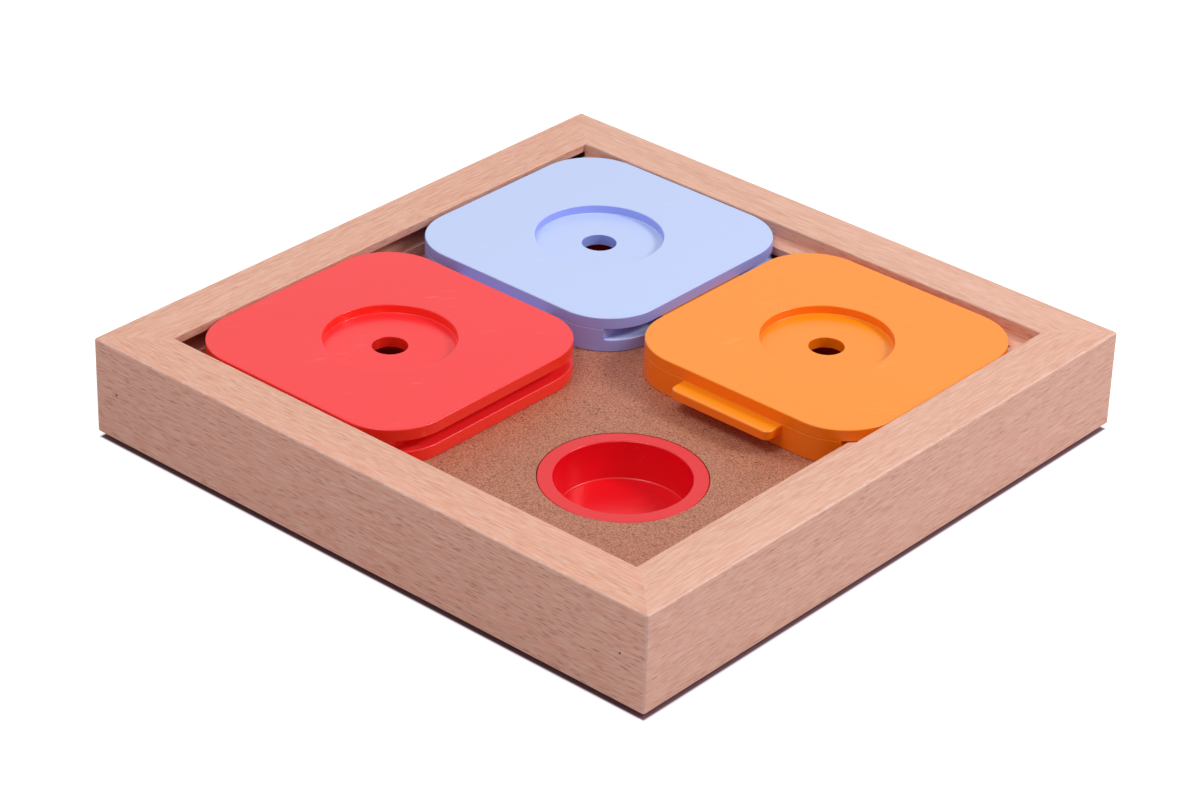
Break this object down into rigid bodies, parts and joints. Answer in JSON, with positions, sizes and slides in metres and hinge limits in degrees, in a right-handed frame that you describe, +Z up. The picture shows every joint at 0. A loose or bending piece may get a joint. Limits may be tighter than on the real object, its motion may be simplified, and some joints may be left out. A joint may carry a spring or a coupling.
{
  "type": "sliding-tile dog puzzle feeder",
  "caption": "Square beech frame with a hardboard floor and sunk treat cups, covered by sliding dished plastic tiles that interlock with tongues and slots.",
  "frame": {"origin": "on the ground, under the middle of the square frame", "axes": "+X to the right rail, +Y to the back rail, +Z up; the front rail is on the -Y side"},
  "size_m": [0.26, 0.26, 0.0405],
  "materials": {
    "beech": "clear-oiled, sanded",
    "hardboard": "smooth-pressed fibreboard, matt",
    "cup_red": "moulded, semi-gloss",
    "tile_red": "moulded, satin",
    "tile_blue": "moulded, satin",
    "tile_orange": "moulded, satin",
    "foot_rubber": "moulded, matt",
    "pin_steel": "plain drawn wire"
  },
  "bodies": {
    "frame": {"front_rail": "beech", "right_rail": "beech", "back_rail": "beech", "left_rail": "beech", "front_guide_strip": "beech", "right_guide_strip": "beech", "hardboard_panel": "hardboard", "cup_front_left": "cup_red", "cup_front_right": "cup_red", "cup_back_left": "cup_red", "cup_back_right": "cup_red", "foot_front_left": "foot_rubber", "foot_front_right": "foot_rubber", "foot_back_left": "foot_rubber", "foot_back_right": "foot_rubber", "corner_pins": "pin_steel"},
    "red_tile": {"red_base": "tile_red", "red_cover": "tile_red"},
    "blue_tile": {"blue_base": "tile_blue", "blue_cover": "tile_blue"},
    "orange_tile": {"orange_base": "tile_orange", "orange_cover": "tile_orange"}
  },
  "joints": [
    {"name": "red_slide", "type": "slide", "parent": "frame", "child": "red_tile", "axis": [0, -1, 0], "range_m": [-0.0007, 0.1125]},
    {"name": "blue_slide", "type": "slide", "parent": "frame", "child": "blue_tile", "axis": [0, 1, 0], "range_m": [-0.0053, 0.0015]},
    {"name": "orange_slide", "type": "slide", "parent": "frame", "child": "orange_tile", "axis": [1, 0, 0], "range_m": [-0.0028, 0.0031]}
  ]
}
